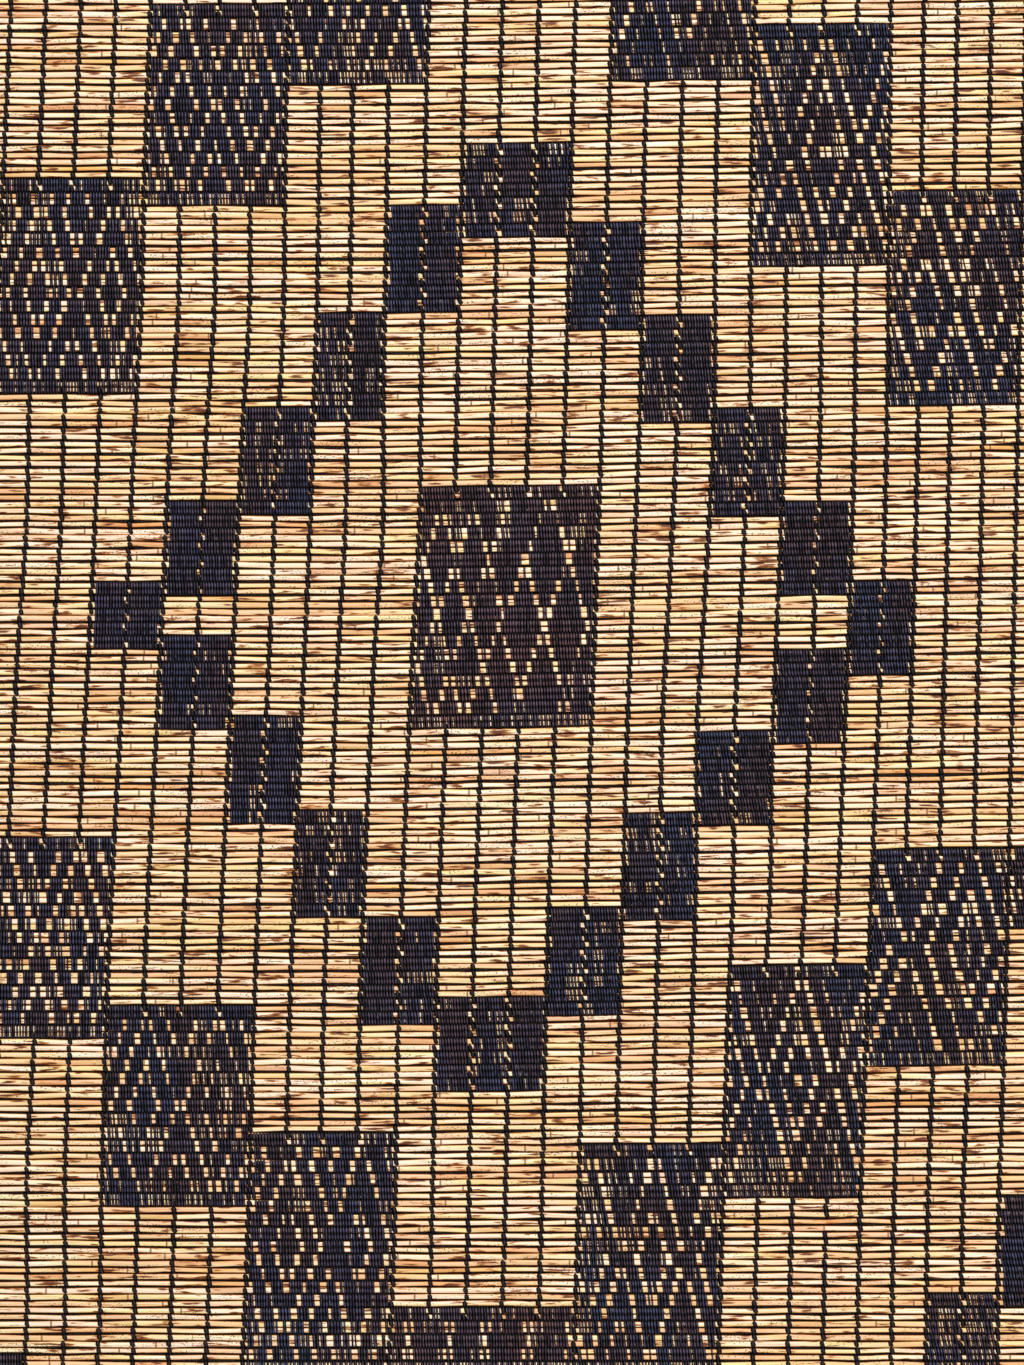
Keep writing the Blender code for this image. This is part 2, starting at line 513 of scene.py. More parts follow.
def twined(line, first, last, turn, chance):
    """One of a lashing's two strands, in front of every other rod between two of them."""
    points = []
    widths = []
    along = []
    body = 1 + chance.uniform(-STRAND_SPREAD, STRAND_SPREAD)

    def put(rod, down, across, z, width):
        y = rod_edge(rod + 0.5 + down)
        x = line_x(line, y)
        points.append((x + across, y + rise(x, y), MID_Z + z))
        widths.append(width * body)
        along.append(0.5 + 0.5 * down)

    for rod in range(first, last):
        front = (rod + turn) % 2 == 0
        slant = STITCH_SLANT * (1 if front else -1) * chance.uniform(*SLANT_SPREAD)
        stagger = stagger_at(line, rod, turn)
        size = chance.uniform(*STITCH_SPREAD)
        put(rod, -0.5, stagger - slant / 2, 0.0, BETWEEN_RODS)
        for c in FRONT_CROSSING if front else BACK_CROSSING:
            wobble = chance.uniform(-STITCH_WOBBLE, STITCH_WOBBLE)
            put(rod, c.down, stagger + slant * c.down + wobble, c.z, c.width * size)
    put(last - 1, 0.5, stagger, 0.0, BETWEEN_RODS)
    return Strand(points, widths, [chance.uniform(*LASHING_MARKS)] * len(points), along)


def lashings(first_line, last_line):
    chance = random.Random(LASHING_SEED + first_line)
    strands = []
    for line in range(first_line, last_line):
        first = None
        for rod in range(RODS + 1):
            open_here = rod < RODS and not covered(line, rod)
            if open_here and first is None:
                first = rod
            if first is not None and not open_here:
                strands += [twined(line, first, rod, turn, chance) for turn in (0, 1)]
                first = None
    return strands


# The woven blocks

FRONT_FLOAT = (
    Crossing(down=-1.0, z=0.00045, width=1.05),
    Crossing(down=-0.80, z=0.00124, width=1.0),
    Crossing(down=0.0, z=0.00127, width=1.0),
    Crossing(down=0.80, z=0.00124, width=1.0),
    Crossing(down=1.0, z=0.00045, width=1.05),
)
BACK_FLOAT = (
    Crossing(down=1.0, z=-0.0001, width=0.8),
    Crossing(down=0.74, z=-0.00122, width=1.0),
    Crossing(down=-0.74, z=-0.00122, width=1.0),
    Crossing(down=-1.0, z=-0.0001, width=0.8),
)
FLOAT_SLANT = (0.00030, 0.00080)  # at the first lashing line and at the last
FLOAT_SLANT_SPREAD = (0.7, 1.3)
FLOAT_LENGTHS = (0.97, 1.0)
FLOAT_LIFT = 0.00005
EDGE_ROOM = LASHING_WIDTH * 0.45  # between a block's outer line and its first thong

# Squares of bare reed stand in lines that step sideways from band to band, and part from axes or meet at
# them. They turn round in band turn and after every leg bands, and one stands on its axis in band start.
# They begin on their axes in band opens and end there in band closes. size is how wide the squares are,
# against the rest. Places, step and spacing are lashing pitches, from the block's left edge.
FAR = 99
Lattice = namedtuple(
    "Lattice",
    "block left right axes turn leg start step spacing size opens closes",
    defaults=(-FAR, FAR),
)
LATTICES = (
    Lattice("upper_left_inner", 0, 4, (-2.1, 3.3), 1, 8, 1, 0.12, 0.53, 0.87),
    Lattice("upper_left_middle", 0, 4, (1.0, 3.0), 1, 6, 4, 0.135, 0.50, 0.95),
    Lattice("upper_left_outer", 0, 4, (1.12, 3.15), 2, 6, 5, 0.12, 0.50, 0.92),
    Lattice("upper_right_inner", 0, 4, (0.1, 2.0, 4.0), 8, 9, 4.5, 0.12, 0.46, 1.1, -FAR, 6),
    Lattice("upper_right_middle", 0, 4, (0.05, 2.13, 4.15), 0, 9, 4, 0.12, 0.50, 1.08, 0),
    Lattice("upper_right_outer", 0, 4, (1.12, 3.05), 0, 8, 0.3, 0.14, 0.57, 1.1, -FAR, 16),
    Lattice("centre", 0, 2.5, (0.62, 1.5, 2.45), 1, 4, 1, 0.115, 0.90, 1.0),
    Lattice("centre", 2.5, 5, (3.62,), 0, 10, 0, 0.12, 2.4, 1.1),
    Lattice("centre", 3.0, 4.4, (3.6,), 10, 10, 10, 0.12, 2.4, 1.1),
    Lattice("lower_left_outer", 0, 4, (1.04, 3.05), 1, 6, 4, 0.13, 0.50, 1.2),
    Lattice("lower_left_middle", 0, 4, (1.1, 3.05), 1, 6, 4, 0.13, 0.50, 0.87),
    Lattice("lower_left_inner", 0, 2.35, (1.1,), 2, 6, 5, 0.13, 0.50, 1.08),
    Lattice("lower_left_inner", 2.35, 4, (3.05,), 0, 8, 0, 0.11, 0.55, 1.05, 0),
    Lattice("lower_middle", 0, 5, (0.5, 1.6, 2.58, 3.75, 4.9), 2, 4, 2, 0.10, 2.0, 0.7),
    Lattice("lower_right_inner", 0, 4, (0.37, 2.1, 3.83), 0, 8, 0, 0.11, 0.45, 1.2, 0, 18),
    Lattice("lower_right_middle", 0, 4, (0.1, 2.1, 4.1), 0, 8, 0, 0.125, 0.50, 1.1, 0, 18),
    Lattice("lower_right_outer", 0, 2.2, (0.15, 2.1), 0, 7, 0, 0.14, 0.56, 1.2, 0, 16),
    Lattice("lower_right_outer", 2.2, 4, (2.9,), -1, 8, 3, 0.135, 0.54, 1.2),
    Lattice("right_edge", 0, 1, (0.75,), 0, 8, 0, 0.14, 0.56, 0.7, 0),
)
LINE_NUMBERS = range(-6, 12)  # of the lines that can cross a block, counted from their axis
AXIS_SLACK = 0.01
END_SLACK = 0.05

# Where the thongs lie loose, with a thin gap beside a share of them: from one place and band to another
Loose = namedtuple("Loose", "block left right first last share")
LOOSE_AREAS = (
    Loose("upper_left_inner", 0.1, 3.9, 5, 6, 0.15),
    Loose("upper_right_middle", 0.1, 1.0, 3, 17, 0.3),
    Loose("upper_right_outer", 0.1, 0.7, 1, 15, 0.3),
    Loose("ring_top", 0.1, 1.1, 0, 5, 0.25),
    Loose("ring_left_2", 0.1, 0.9, 1, 6, 0.5),
    Loose("ring_left_3", 0.1, 1.9, 1, 6, 0.25),
    Loose("ring_left_6", 0.1, 1.9, 1, 5, 0.1),
    Loose("ring_right_3", 0.1, 1.9, 1, 6, 0.3),
    Loose("ring_left_8", 0.1, 1.9, 1, 6, 0.25),
    Loose("ring_left_9", 0.8, 1.9, 1, 6, 0.2),
    Loose("ring_right_2", 0.1, 0.9, 3, 6, 0.25),
    Loose("ring_right_8", 0.1, 1.9, 1, 6, 0.2),
    Loose("ring_bottom", 0.9, 2.1, 1, 5, 0.3),
    Loose("lower_left_outer", 0.1, 3.9, 3, 12, 0.2),
    Loose("lower_left_middle", 2.4, 3.9, 1, 14, 0.25),
    Loose("lower_left_middle", 0.1, 1.5, 8, 14, 0.2),
    Loose("lower_left_inner", 0.1, 3.9, 14, 17, 0.35),
    Loose("lower_middle", 0.1, 4.9, 0, 4, 0.1),
    Loose("lower_right_inner", 0.1, 1.0, 1, 12, 0.5),
    Loose("lower_right_middle", 0.1, 1.9, 14, 16, 0.4),
    Loose("lower_right_corner", 1.1, 1.9, 0, 5, 0.5),
    Loose("lower_right_corner", 0.1, 0.9, 4, 5, 0.3),
)

Opening = namedtuple("Opening", "place width")
THONG_ROOM = 0.00045  # the least that is left for thongs between two openings

# A throw from 0 to 1 gives each square its kind. Below the first limit it shrinks to a thin gap, below
# the second it is narrow, and below the third it is broad.
SQUARE = (0.0012, 0.0016)
MERGED_SQUARE = (0.0017, 0.0022)
NARROW_SQUARE = (0.0006, 0.0010)
BROAD_SQUARE = (0.0016, 0.0021)
SHRUNK_BELOW = 0.08
NARROW_BELOW = 0.28
BROAD_BELOW = 0.36
PAST_END_SHRUNK_BELOW = 0.75  # the first limit for a square past the end of its line
SQUARE_STRAY = 0.02
MERGED = 0.12  # squares closer than this, in lashing pitches, are one

# A lashing that shows inside a block has a chain of bare rods, faint in the blocks that are packed close
CHAIN_ROOM = 0.0018
FAINT_CHAIN_ROOM = 0.0011
CHAIN_SHIFT = 0.00035
CLOSE_BLOCKS = (
    *("ring_left_3", "ring_left_4", "ring_left_5", "ring_left_6"),
    *("ring_right_4", "ring_right_5", "ring_right_6"),
)

EdgeGap = namedtuple("EdgeGap", "widths often")
EDGE_GAP = EdgeGap((0.0003, 0.0007), 0.45)
SINGLE_EDGE_GAP = EdgeGap((0.0008, 0.0012), 0.75)  # in a block of one lashing pitch

# Thin gaps between two thongs, by themselves and in bunches that run down through some bands
THIN_GAP = (0.00018, 0.00046)
GAP_PITCH = 0.085  # from one to the next, at each thong, in lashing pitches
GAP_STRAY = 0.03
LOOSE_STRAY = (0.2, 0.8)
BUNCHES = 0.20  # for each lashing pitch and band
NARROW_BUNCHES = 0.26
FEW_BUNCHES = 0.03
BUNCH_FROM = -2  # the band that the highest bunches start in, above the block
BUNCH_DEPTHS = (0, 0, 1, 1, 2, 4)
BUNCH_GAPS = (1, 1, 2, 3, 4, 5)
BUNCH_CLEAR = 0.1  # from the block's edges
BUNCH_SHARE = 0.85  # of a bunch's gaps that show in a band
LAST_GAP_CLEAR = 0.08
FIRST_BAND_SHARE = 0.08
LAST_BAND_SHARE = 0.40
END_BAND_START = 1.2  # from the block's edge to the first gap, in gap pitches


def lattice_places(lattice, band):
    """Where a lattice puts squares in a band, with their size, which is 0 past the end of a line."""

    def climbed(at_band):
        phase = (at_band - lattice.turn) % (2 * lattice.leg)
        return min(phase, 2 * lattice.leg - phase)

    shift = lattice.step * (climbed(band) - climbed(lattice.start))
    limit = lattice.step * min(band - lattice.opens, lattice.closes - band) + END_SLACK
    places = []
    for index, axis in enumerate(lattice.axes):
        for side in (-1, 1):
            other = index + side
            inner = 0 <= other < len(lattice.axes)
            half = abs(lattice.axes[other] - axis) / 2 if inner else FAR
            for number in LINE_NUMBERS:
                reach = shift + number * lattice.spacing
                place = axis + side * reach
                if -AXIS_SLACK <= reach <= half and lattice.left <= place <= lattice.right:
                    places.append((place, lattice.size if reach <= limit else 0.0))
    return places


def squares(block, band, chance):
    """The bare squares of a band. A few shrink to a thin gap, as in any hand work, and so do most of
    those that are past the end of their lines."""
    found = []
    places = sorted(
        place
        for lattice in LATTICES
        if lattice.block == block.name and 0 < band < block.bands - 1
        for place in lattice_places(lattice, band)
    )
    while places:
        place, size = places.pop(0)
        width = size * chance.uniform(*SQUARE)
        if places and places[0][0] - place < MERGED:
            place = (place + places.pop(0)[0]) / 2
            width = size * chance.uniform(*MERGED_SQUARE)
        kind = chance.random()
        if kind < (SHRUNK_BELOW if size else PAST_END_SHRUNK_BELOW):
            width = chance.uniform(*THIN_GAP)
        elif kind < NARROW_BELOW or not size:
            width = chance.uniform(*NARROW_SQUARE)
        elif kind < BROAD_BELOW:
            width = size * chance.uniform(*BROAD_SQUARE)
        found.append(Opening(place + chance.uniform(-SQUARE_STRAY, SQUARE_STRAY), width))
    return found


def chain(block, band):
    """The bare rods at each lashing that shows inside a block."""
    if not is_narrow(block) and band > 0:
        return []
    room = FAINT_CHAIN_ROOM if block.name in CLOSE_BLOCKS else CHAIN_ROOM
    found = []
    for line in range(1, pitches_across(block)):
        side = CHAIN_SHIFT if (band + line) % 2 else -CHAIN_SHIFT
        found.append(Opening(line + side / LINE_PITCH, room))
    return found


def edge_gaps(block, chance):
    """A gap beside a block's outer lines, in some of its bands."""
    span = pitches_across(block)
    gap = EDGE_GAP if span > 1 else SINGLE_EDGE_GAP
    found = []
    for side in (0, 1):
        width = chance.uniform(*gap.widths)
        beside = (EDGE_ROOM + width / 2) / LINE_PITCH
        if chance.random() < gap.often:
            found.append(Opening(abs(side * span - beside), width))
    return found


def bunches_of_gaps(block, chance):
    """Every gap of a block's bunches, with the first and the last band that it runs through."""
    span = pitches_across(block)
    often = NARROW_BUNCHES if is_narrow(block) else BUNCHES
    if block.name in CLOSE_BLOCKS:
        often = FEW_BUNCHES
    found = []
    for _ in range(round(often * span * block.bands)):
        first = chance.randint(BUNCH_FROM, block.bands - 1)
        last = first + chance.choice(BUNCH_DEPTHS)
        left = chance.uniform(BUNCH_CLEAR, span - BUNCH_CLEAR)
        for number in range(chance.choice(BUNCH_GAPS)):
            gap = Opening(left + number * GAP_PITCH, chance.uniform(*THIN_GAP))
            found.append((first, last, gap))
    return found


def bunched_gaps(block, band, bunches, chance):
    end = pitches_across(block) - LAST_GAP_CLEAR
    return [
        Opening(gap.place + chance.uniform(-GAP_STRAY, GAP_STRAY), gap.width)
        for first, last, gap in bunches
        if first <= band <= last and gap.place < end and chance.random() < BUNCH_SHARE
    ]


def loose_gaps(block, band, chance):
    return [
        Opening(
            area.left + (number + chance.uniform(*LOOSE_STRAY)) * GAP_PITCH,
            chance.uniform(*THIN_GAP),
        )
        for area in LOOSE_AREAS
        if area.block == block.name and area.first <= band <= area.last
        for number in range(int((area.right - area.left) / GAP_PITCH))
        if chance.random() < area.share
    ]


def end_band_gaps(block, band, chance):
    """The first band of a wide block is packed a little less close, and the last one much less."""
    if is_narrow(block) or band not in (0, block.bands - 1):
        return []
    share = FIRST_BAND_SHARE if band == 0 else LAST_BAND_SHARE
    return [
        Opening((number + END_BAND_START) * GAP_PITCH, chance.uniform(*THIN_GAP))
        for number in range(int(pitches_across(block) / GAP_PITCH) - 1)
        if chance.random() < share
    ]


def openings(block, chance):
    """Every band's openings, in order from the left, with their width in metres. Of two that come too
    close, the one of the later kind gives way."""
    bunches = bunches_of_gaps(block, chance)
    bands = []
    for band in range(block.bands):
        wanted = [
            *squares(block, band, chance),
            *chain(block, band),
            *edge_gaps(block, chance),
            *bunched_gaps(block, band, bunches, chance),
            *loose_gaps(block, band, chance),
            *end_band_gaps(block, band, chance),
        ]
        kept = []
        for opening in wanted:
            apart = [
                abs(opening.place - other.place) * LINE_PITCH
                - (opening.width + other.width) / 2
                for other in kept
            ]
            if all(distance > THONG_ROOM for distance in apart):
                kept.append(opening)
        bands.append(sorted(kept))
    return bands


def runs(block, found, y):
    """The stretches of a band that are filled with thongs, in metres from the block's left edge."""
    width = line_x(block.last_line, y) - line_x(block.first_line, y)
    pitch = width / pitches_across(block)
    edge = EDGE_ROOM
    stretches = []
    for opening in found:
        middle = opening.place * pitch
        if middle - opening.width / 2 > edge + THONG_ROOM / 2:
            stretches.append((edge, middle - opening.width / 2))
        edge = max(edge, middle + opening.width / 2)
    if width - EDGE_ROOM > edge:
        stretches.append((edge, width - EDGE_ROOM))
    return stretches


def laid_float(block, band, across, width, shape, pitch, chance):
    """One thong over or under the two rods of a band."""
    rod = block.first_rod + 2 * band + 1
    lift = chance.uniform(-FLOAT_LIFT, FLOAT_LIFT)
    slant = np.interp(block.first_line, (0, LINES - 1), FLOAT_SLANT)
    slant *= chance.uniform(*FLOAT_SLANT_SPREAD)
    points = []
    widths = []
    for c in shape:
        y = rod_edge(rod + c.down * chance.uniform(*FLOAT_LENGTHS))
        x = line_x(block.first_line, y) + across + slant * c.down / 2
        points.append((x, y + rise(x, y), MID_Z + c.z + (lift if c.z > 0 else -lift)))
        widths.append(c.width * width / pitch)
    along = [c.down for c in shape]
    return Strand(points, widths, [chance.random()] * len(points), along)


def woven(piece, front):
    """The floats of one piece's blocks, on the front or on the back."""
    strands = []
    for block in BLOCKS:
        if block.piece != piece:
            continue
        chance = random.Random(block.name + str(front))
        pitch = THONG_PITCH if front else BACK_THONG_PITCH
        shape = FRONT_FLOAT if front else BACK_FLOAT
        found = openings(block, chance) if front else [[]] * block.bands
        for band in range(block.bands):
            y = rod_edge(block.first_rod + 2 * band + 1)
            for start, end in runs(block, found[band], y):
                count = max(1, round((end - start) / pitch))
                each = (end - start) / count
                for number in range(count):
                    width = each * chance.uniform(*(FRONT_WIDTHS if front else BACK_WIDTHS))
                    across = start + (number + 0.5) * each
                    strands.append(laid_float(block, band, across, width, shape, pitch, chance))
    return strands


# Materials

SHARE, UNDER, OVER = 0, 6, 7  # a Mix node's inputs when it mixes colours
MIXED = 2  # and its output

# A noise's size along X and the other way, and how far two strands' patterns stand apart along it
Pattern = namedtuple("Pattern", "name length across shift detail")


def new_material(name):
    material = bpy.data.materials.new(name)
    material.use_nodes = True
    return material, material.node_tree, material.node_tree.nodes["Principled BSDF"]


def set_stops(ramp, stops):
    """Gives a colour ramp its stops, each a place and an sRGB hex colour."""
    elements = ramp.color_ramp.elements
    while len(elements) > 1:
        elements.remove(elements[0])
    elements[0].position, elements[0].color = stops[0][0], linear(stops[0][1])
    for place, colour in stops[1:]:
        elements.new(place).color = linear(colour)


def patterns(tree, table):
    """The noises of a table's rows, by name. They read the sizes as metres on the mat."""
    coordinates = add(tree, "ShaderNodeTexCoord").outputs["Object"]
    strand = add(tree, "ShaderNodeAttribute", attribute_name="strand").outputs["Fac"]
    made = {}
    for row in table:
        scaled = add(
            tree,
            "ShaderNodeVectorMath",
            {0: coordinates, 1: (1 / row.length, 1 / row.across, 1 / row.across)},
            operation="MULTIPLY",
        )
        apart = add(tree, "ShaderNodeMath", {0: strand, 1: row.shift}, operation="MULTIPLY")
        shift = add(tree, "ShaderNodeCombineXYZ", {"X": apart.outputs[0]})
        placed = add(
            tree, "ShaderNodeVectorMath", {0: scaled.outputs[0], 1: shift.outputs[0]}
        )
        noise = add(
            tree,
            "ShaderNodeTexNoise",
            {"Vector": placed.outputs[0], "Scale": 1.0, "Detail": row.detail},
        )
        made[row.name] = noise.outputs["Fac"]
    return made


def depth_from_middle(tree):
    """Height above or below the middle of the mat."""
    coordinates = add(tree, "ShaderNodeTexCoord").outputs["Object"]
    height = add(tree, "ShaderNodeSeparateXYZ", {0: coordinates}).outputs["Z"]
    from_middle = add(tree, "ShaderNodeMath", {0: height, 1: MID_Z}, operation="SUBTRACT")
    return add(
        tree, "ShaderNodeMath", {0: from_middle.outputs[0]}, operation="ABSOLUTE"
    ).outputs[0]


def dried_reed():
    """Sun-dried grass stems: a silica skin with a satin sheen. Each keeps its straw, cream or rosy
    colour along its length, a shade lighter or darker from lashing to lashing, with brown scars, specks
    and nodes. Painted shade darkens each stem from a light tan on its upper flanks to near black in the
    grooves between."""
    material, tree, shader = new_material("dried_reed")
    noise = patterns(
        tree,
        (
            Pattern("tint", 0.090, 0.004, 3.7, 0.0),  # a stem keeps its colour for some 9 cm
            Pattern("fibre", 0.018, 0.00018, 5.3, 2.0),  # ribs in the skin, 0.2 mm wide
            Pattern("streak", 0.020, 0.0003, 9.1, 1.0),  # weathered fibres
            Pattern("blotch", 0.008, 0.0012, 7.9, 1.0),  # scars, 8 mm long
            Pattern("fringe", 0.0028, 0.00024, 8.7, 1.0),  # and their split edges
            Pattern("speck", 0.0007, 0.0004, 2.9, 0.0),  # half a millimetre
            Pattern("speck_patch", 0.014, 0.0020, 6.7, 0.0),
        ),
    )
    tint = add(tree, "ShaderNodeValToRGB", {"Fac": noise["tint"]})
    set_stops(
        tint,
        (
            (0.30, "efc79c"),
            (0.38, "f2deaa"),
            (0.45, "f9edd2"),
            (0.53, "f9dec6"),
            (0.60, "f8eed8"),
            (0.67, "f2e3a4"),
            (0.74, "eecb9c"),
        ),
    )
    strand = add(tree, "ShaderNodeAttribute", attribute_name="strand").outputs["Fac"]
    along = add(tree, "ShaderNodeAttribute", attribute_name="along").outputs["Fac"]
    stretch = add(tree, "ShaderNodeMath", {0: along}, operation="FLOOR")
    place = add(tree, "ShaderNodeCombineXYZ", {"X": strand, "Y": stretch.outputs[0]})
    own = add(tree, "ShaderNodeTexWhiteNoise", {"Vector": place.outputs[0]})
    tone = add(tree, "ShaderNodeValToRGB", {"Fac": own.outputs["Value"]})
    set_stops(
        tone,
        (
            (0.0, "d8ac80"),
            (0.1, "f0d6b8"),
            (0.3, "fbf0e4"),
            (0.7, "f8f8f8"),
            (1.0, "f8f2e0"),
        ),
    )
    toned = add(
        tree,
        "ShaderNodeMix",
        {SHARE: 0.8, UNDER: tint.outputs[0], OVER: tone.outputs[0]},
        data_type="RGBA",
        blend_type="MULTIPLY",
    )
    fibre = add(tree, "ShaderNodeValToRGB", {"Fac": noise["fibre"]})
    set_stops(fibre, ((0.28, "cc924e"), (0.43, "ffffff")))
    fibrous = add(
        tree,
        "ShaderNodeMix",
        {SHARE: 0.75, UNDER: toned.outputs[MIXED], OVER: fibre.outputs[0]},
        data_type="RGBA",
        blend_type="MULTIPLY",
    )
    streak = add(
        tree,
        "ShaderNodeMapRange",
        {"Value": noise["streak"], "From Min": 0.64, "From Max": 0.72, "To Max": 0.7},
    )
    streaked = add(
        tree,
        "ShaderNodeMix",
        {SHARE: streak.outputs[0], UNDER: fibrous.outputs[MIXED], OVER: linear("bd7c38")},
        data_type="RGBA",
    )
    frayed = add(
        tree,
        "ShaderNodeMath",
        {0: noise["fringe"], 1: 0.35, 2: noise["blotch"]},
        operation="MULTIPLY_ADD",
    )
    blotched = streaked
    # A scar is tan at its rim and dark at its heart
    for start, end, colour in ((0.790, 0.820, "b87436"), (0.846, 0.870, "602f12")):
        reach = add(
            tree,
            "ShaderNodeMapRange",
            {"Value": frayed.outputs[0], "From Min": start, "From Max": end},
        )
        blotched = add(
            tree,
            "ShaderNodeMix",
            {SHARE: reach.outputs[0], UNDER: blotched.outputs[MIXED], OVER: linear(colour)},
            data_type="RGBA",
        )
    speck = add(
        tree,
        "ShaderNodeMapRange",
        {"Value": noise["speck"], "From Min": 0.62, "From Max": 0.68},
    )
    patch = add(
        tree,
        "ShaderNodeMapRange",
        {"Value": noise["speck_patch"], "From Min": 0.55, "From Max": 0.62, "To Max": 0.8},
    )
    specks = add(
        tree, "ShaderNodeMath", {0: speck.outputs[0], 1: patch.outputs[0]}, operation="MULTIPLY"
    )
    specked = add(
        tree,
        "ShaderNodeMix",
        {SHARE: specks.outputs[0], UNDER: blotched.outputs[MIXED], OVER: linear("573320")},
        data_type="RGBA",
    )
    mark = add(tree, "ShaderNodeAttribute", attribute_name="mark").outputs["Fac"]
    ring = add(
        tree,
        "ShaderNodeMapRange",
        {"Value": mark, "From Min": 0.60, "From Max": 0.95},
    )
    ringed = add(
        tree,
        "ShaderNodeMix",
        {SHARE: ring.outputs[0], UNDER: specked.outputs[MIXED], OVER: linear("7d4c28")},
        data_type="RGBA",
    )
    # Painted shade: keyed by height alone, each stem goes from a light tan on its upper flanks to near
    # black in the grooves between the stems
    groove_shade_depth = add(
        tree,
        "ShaderNodeMapRange",
        {"Value": depth_from_middle(tree), "From Min": 0.0, "From Max": 0.001},
    )
    shadow = add(tree, "ShaderNodeValToRGB", {"Fac": groove_shade_depth.outputs[0]})
    set_stops(
        shadow,
        (
            (0.52, "1c0e04"),
            (0.61, "70400f"),
            (0.70, "cf8c40"),
            (0.77, "f8dcaa"),
            (0.83, "ffffff"),
        ),
    )
    groove_shaded = add(
        tree,
        "ShaderNodeMix",
        {SHARE: 1.0, UNDER: ringed.outputs[MIXED], OVER: shadow.outputs[0]},
        data_type="RGBA",
        blend_type="MULTIPLY",
    )
    bump = add(
        tree,
        "ShaderNodeBump",
        {"Strength": 0.35, "Distance": 0.00006, "Height": noise["fibre"]},
    )
    tree.links.new(groove_shaded.outputs[MIXED], shader.inputs["Base Color"])
    tree.links.new(bump.outputs[0], shader.inputs["Normal"])
    shader.inputs["Roughness"].default_value = 0.48
    shader.inputs["Specular IOR Level"].default_value = 0.3
    return material


# A dyed hide's colours from its browner patches to its bluer ones, and where the dye is rubbed. The
# middle blocks are of a browner hide than the rest, and the lashings are waxed black.
Hide = namedtuple("Hide", "stops rubbed")
BLUE_HIDE = Hide(((0.38, "5b464e"), (0.46, "554656"), (0.54, "4c465f"), (0.62, "444864")), "6d6070")
BROWN_HIDE = Hide(((0.38, "704e4e"), (0.46, "6a4e54"), (0.54, "624c58"), (0.62, "5a4c5c")), "6d6070")
BLACK_HIDE = Hide(((0.38, "32282c"), (0.46, "2e262e"), (0.54, "2a2634"), (0.62, "262838")), "342e3c")


def dyed_goat_leather(name, colours):
    """Vegetable-tanned goatskin, cut in thongs and dyed: fine grain, dull, with the dye rubbed in patches,
    a painted highlight where a thong rides over a stem, and painted shade in the dips between and low
    down between the thongs."""
    material, tree, shader = new_material(name)
    noise = patterns(
        tree,
        (
            Pattern("hide", 0.022, 0.038, 0.0, 2.0),  # patches of uneven dye, 2 to 4 cm
            Pattern("grain", 0.00022, 0.0006, 3.1, 1.0),  # pores, drawn out along the thong
            Pattern("rub", 0.0007, 0.0018, 4.3, 1.0),
        ),
    )
    hide = add(tree, "ShaderNodeValToRGB", {"Fac": noise["hide"]})
    set_stops(hide, colours.stops)
    mark = add(tree, "ShaderNodeAttribute", attribute_name="mark").outputs["Fac"]
    shade = add(tree, "ShaderNodeValToRGB", {"Fac": mark})
    set_stops(shade, ((0.0, "6c6a72"), (0.5, "dedae0"), (1.0, "ffffff")))
    shaded = add(
        tree,
        "ShaderNodeMix",
        {SHARE: 1.0, UNDER: hide.outputs[0], OVER: shade.outputs[0]},
        data_type="RGBA",
        blend_type="MULTIPLY",
    )
    along = add(tree, "ShaderNodeAttribute", attribute_name="along").outputs["Fac"]
    from_middle = add(tree, "ShaderNodeMath", {0: along}, operation="ABSOLUTE")
    off_crown = add(
        tree, "ShaderNodeMath", {0: from_middle.outputs[0], 1: 0.5}, operation="SUBTRACT"
    )
    off = add(tree, "ShaderNodeMath", {0: off_crown.outputs[0]}, operation="ABSOLUTE")
    # Painted highlight and shade: lightest where a thong rides over a rod, darker in the dips between rods
    # and at a float's ends
    crown_light = add(tree, "ShaderNodeValToRGB", {"Fac": off.outputs[0]})
    set_stops(crown_light, ((0.10, "ffffff"), (0.30, "8c848c"), (0.46, "443e44")))
    crown_lit = add(
        tree,
        "ShaderNodeMix",
        {SHARE: 1.0, UNDER: shaded.outputs[MIXED], OVER: crown_light.outputs[0]},
        data_type="RGBA",
        blend_type="MULTIPLY",
    )
    rub = add(
        tree,
        "ShaderNodeMapRange",
        {"Value": noise["rub"], "From Min": 0.58, "From Max": 0.78, "To Max": 0.5},
    )
    rubbed = add(
        tree,
        "ShaderNodeMix",
        {SHARE: rub.outputs[0], UNDER: crown_lit.outputs[MIXED], OVER: linear(colours.rubbed)},
        data_type="RGBA",
    )
    # Painted shade: the leather darkens to near black the lower it lies, down the sides of each thong and
    # where it dives between the rods
    dip_shade_depth = add(
        tree,
        "ShaderNodeMapRange",
        {"Value": depth_from_middle(tree), "From Min": 0.00142, "From Max": 0.00114},
    )
    dip_shaded = add(
        tree,
        "ShaderNodeMix",
        {SHARE: dip_shade_depth.outputs[0], UNDER: rubbed.outputs[MIXED], OVER: linear("100d10")},
        data_type="RGBA",
    )
    bump = add(
        tree,
        "ShaderNodeBump",
        {"Strength": 0.5, "Distance": 0.00008, "Height": noise["grain"]},
    )
    tree.links.new(dip_shaded.outputs[MIXED], shader.inputs["Base Color"])
    tree.links.new(bump.outputs[0], shader.inputs["Normal"])
    shader.inputs["Roughness"].default_value = 0.52
    shader.inputs["Specular IOR Level"].default_value = 0.25
    return material


def studio_floor():
    """Matt pale paper sweep."""
    material, _, shader = new_material("matt_paper")
    shader.inputs["Base Color"].default_value = linear("cfcdc9")
    shader.inputs["Roughness"].default_value = 0.9
    return material


# Camera and light

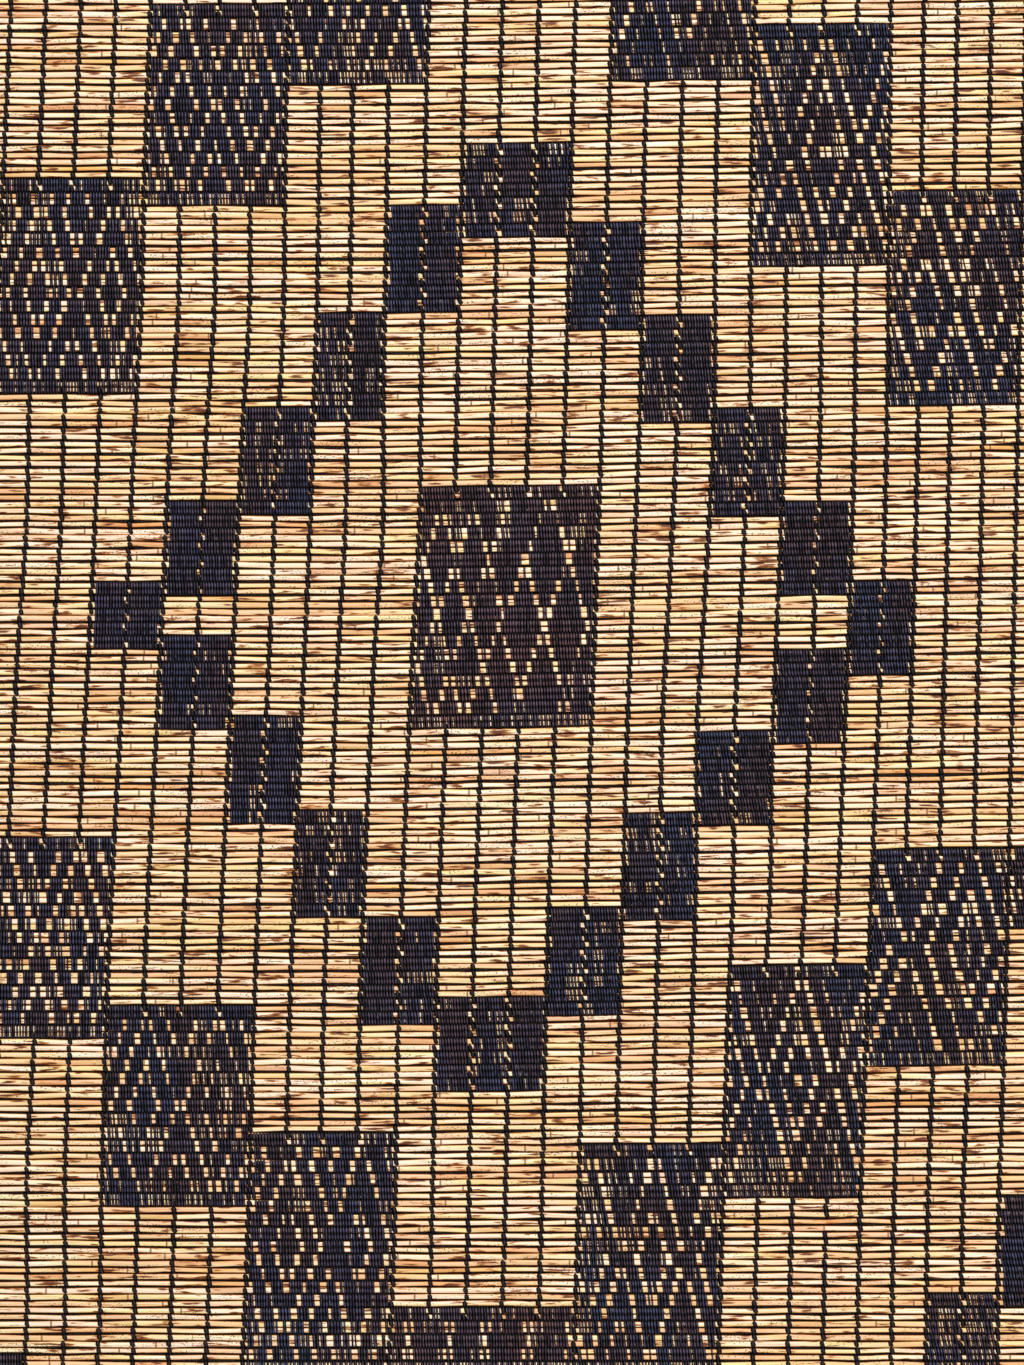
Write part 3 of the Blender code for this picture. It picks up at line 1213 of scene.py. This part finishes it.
Lamp = namedtuple("Lamp", "name place size energy colour")
LAMPS = (
    Lamp("window", (0.1, 1.35, 1.8), size=1.2, energy=60.0, colour="f8fbff"),
    Lamp("fill", (0.35, -0.9, 1.2), size=1.0, energy=13.5, colour="fdfcf6"),
)
FLOOR_REACH = 2.5


def add_camera():
    data = bpy.data.cameras.new("photo_view")
    data.lens = LENS
    data.sensor_width = SENSOR
    distance = PHOTO_HEIGHT * LENS / SENSOR
    camera = bpy.data.objects.new("photo_view", data)
    top = MID_Z + ROD_DIAMETER / 2
    camera.location = (PHOTO_X, 0.0, top + distance)
    bpy.context.scene.collection.objects.link(camera)
    bpy.context.scene.camera = camera


def add_lamp(lamp):
    """A soft light that is turned to the middle of the mat."""
    data = bpy.data.lights.new(lamp.name, "AREA")
    data.size = lamp.size
    data.energy = lamp.energy
    data.color = linear(lamp.colour)[:3]
    panel = bpy.data.objects.new(lamp.name, data)
    bpy.context.scene.collection.objects.link(panel)
    panel.location = lamp.place
    panel.rotation_euler = (-panel.location).to_track_quat("-Z", "Y").to_euler()


def add_studio():
    floor_data = bpy.data.meshes.new("floor")
    corners = ((-1, -1), (1, -1), (1, 1), (-1, 1))
    floor_data.from_pydata(
        [(x * FLOOR_REACH, y * FLOOR_REACH, 0) for x, y in corners], [], [(0, 1, 2, 3)]
    )
    floor_data.materials.append(studio_floor())
    floor = bpy.data.objects.new("floor", floor_data)
    bpy.context.scene.collection.objects.link(floor)
    for lamp in LAMPS:
        add_lamp(lamp)
    world = bpy.data.worlds.new("studio")
    world.use_nodes = True
    background = world.node_tree.nodes["Background"]
    background.inputs["Color"].default_value = linear("f2f2f2")
    background.inputs["Strength"].default_value = 0.10
    bpy.context.scene.world = world
    bpy.context.scene.view_settings.view_transform = "Standard"


def main():
    add_camera()
    add_studio()
    stem_tree = strand_tree("stem_along_path", True)
    thong_tree = strand_tree("thong_along_path", False)
    reed = dried_reed()
    blue_leather = dyed_goat_leather("blue_black_goat_leather", BLUE_HIDE)
    brown_leather = dyed_goat_leather("brown_black_goat_leather", BROWN_HIDE)
    black_leather = dyed_goat_leather("waxed_black_goat_leather", BLACK_HIDE)

    mat_of_reeds = sweep(
        "reeds",
        reeds(),
        stem_tree,
        Width=ROD_DIAMETER * ROD_WIDTH_SHARE,
        Thickness=ROD_DIAMETER * ROD_THICKNESS_SHARE,
        Facing=(0.0, 1.0, 0.0),
        Material=reed,
    )
    mat_of_reeds.data.set_sharp_from_angle(angle=SHARP_FROM)

    thong_inputs = {
        "Facing": (1.0, 0.0, 0.0),
        "Wander": 0.00008,
        "Wander_Length": 0.003,
        "Seed": 9.0,
    }
    leather_pieces = []
    for name, first, last in (("left", 0, 11), ("middle", 11, 21), ("right", 21, LINES)):
        leather_pieces.append(
            sweep(
                "lashings_" + name,
                lashings(first, last),
                thong_tree,
                Width=LASHING_WIDTH / THONG_FOOT,
                Thickness=LASHING_THICKNESS / THONG_RIDGE,
                Material=black_leather,
                **thong_inputs,
            )
        )
    for name in ("upper", "ring", "centre", "lower_left", "lower_right"):
        for front in (True, False):
            pitch = THONG_PITCH if front else BACK_THONG_PITCH
            leather_pieces.append(
                sweep(
                    ("pattern_" if front else "pattern_back_") + name,
                    woven(name, front),
                    thong_tree,
                    Width=pitch / THONG_FOOT,
                    Thickness=THONG_THICKNESS / THONG_RIDGE,
                    Material=brown_leather if name == "centre" else blue_leather,
                    **thong_inputs,
                )
            )

    for piece in [mat_of_reeds, *leather_pieces]:
        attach(piece, "root")
        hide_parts("rods" if piece is mat_of_reeds else "leather")


main()
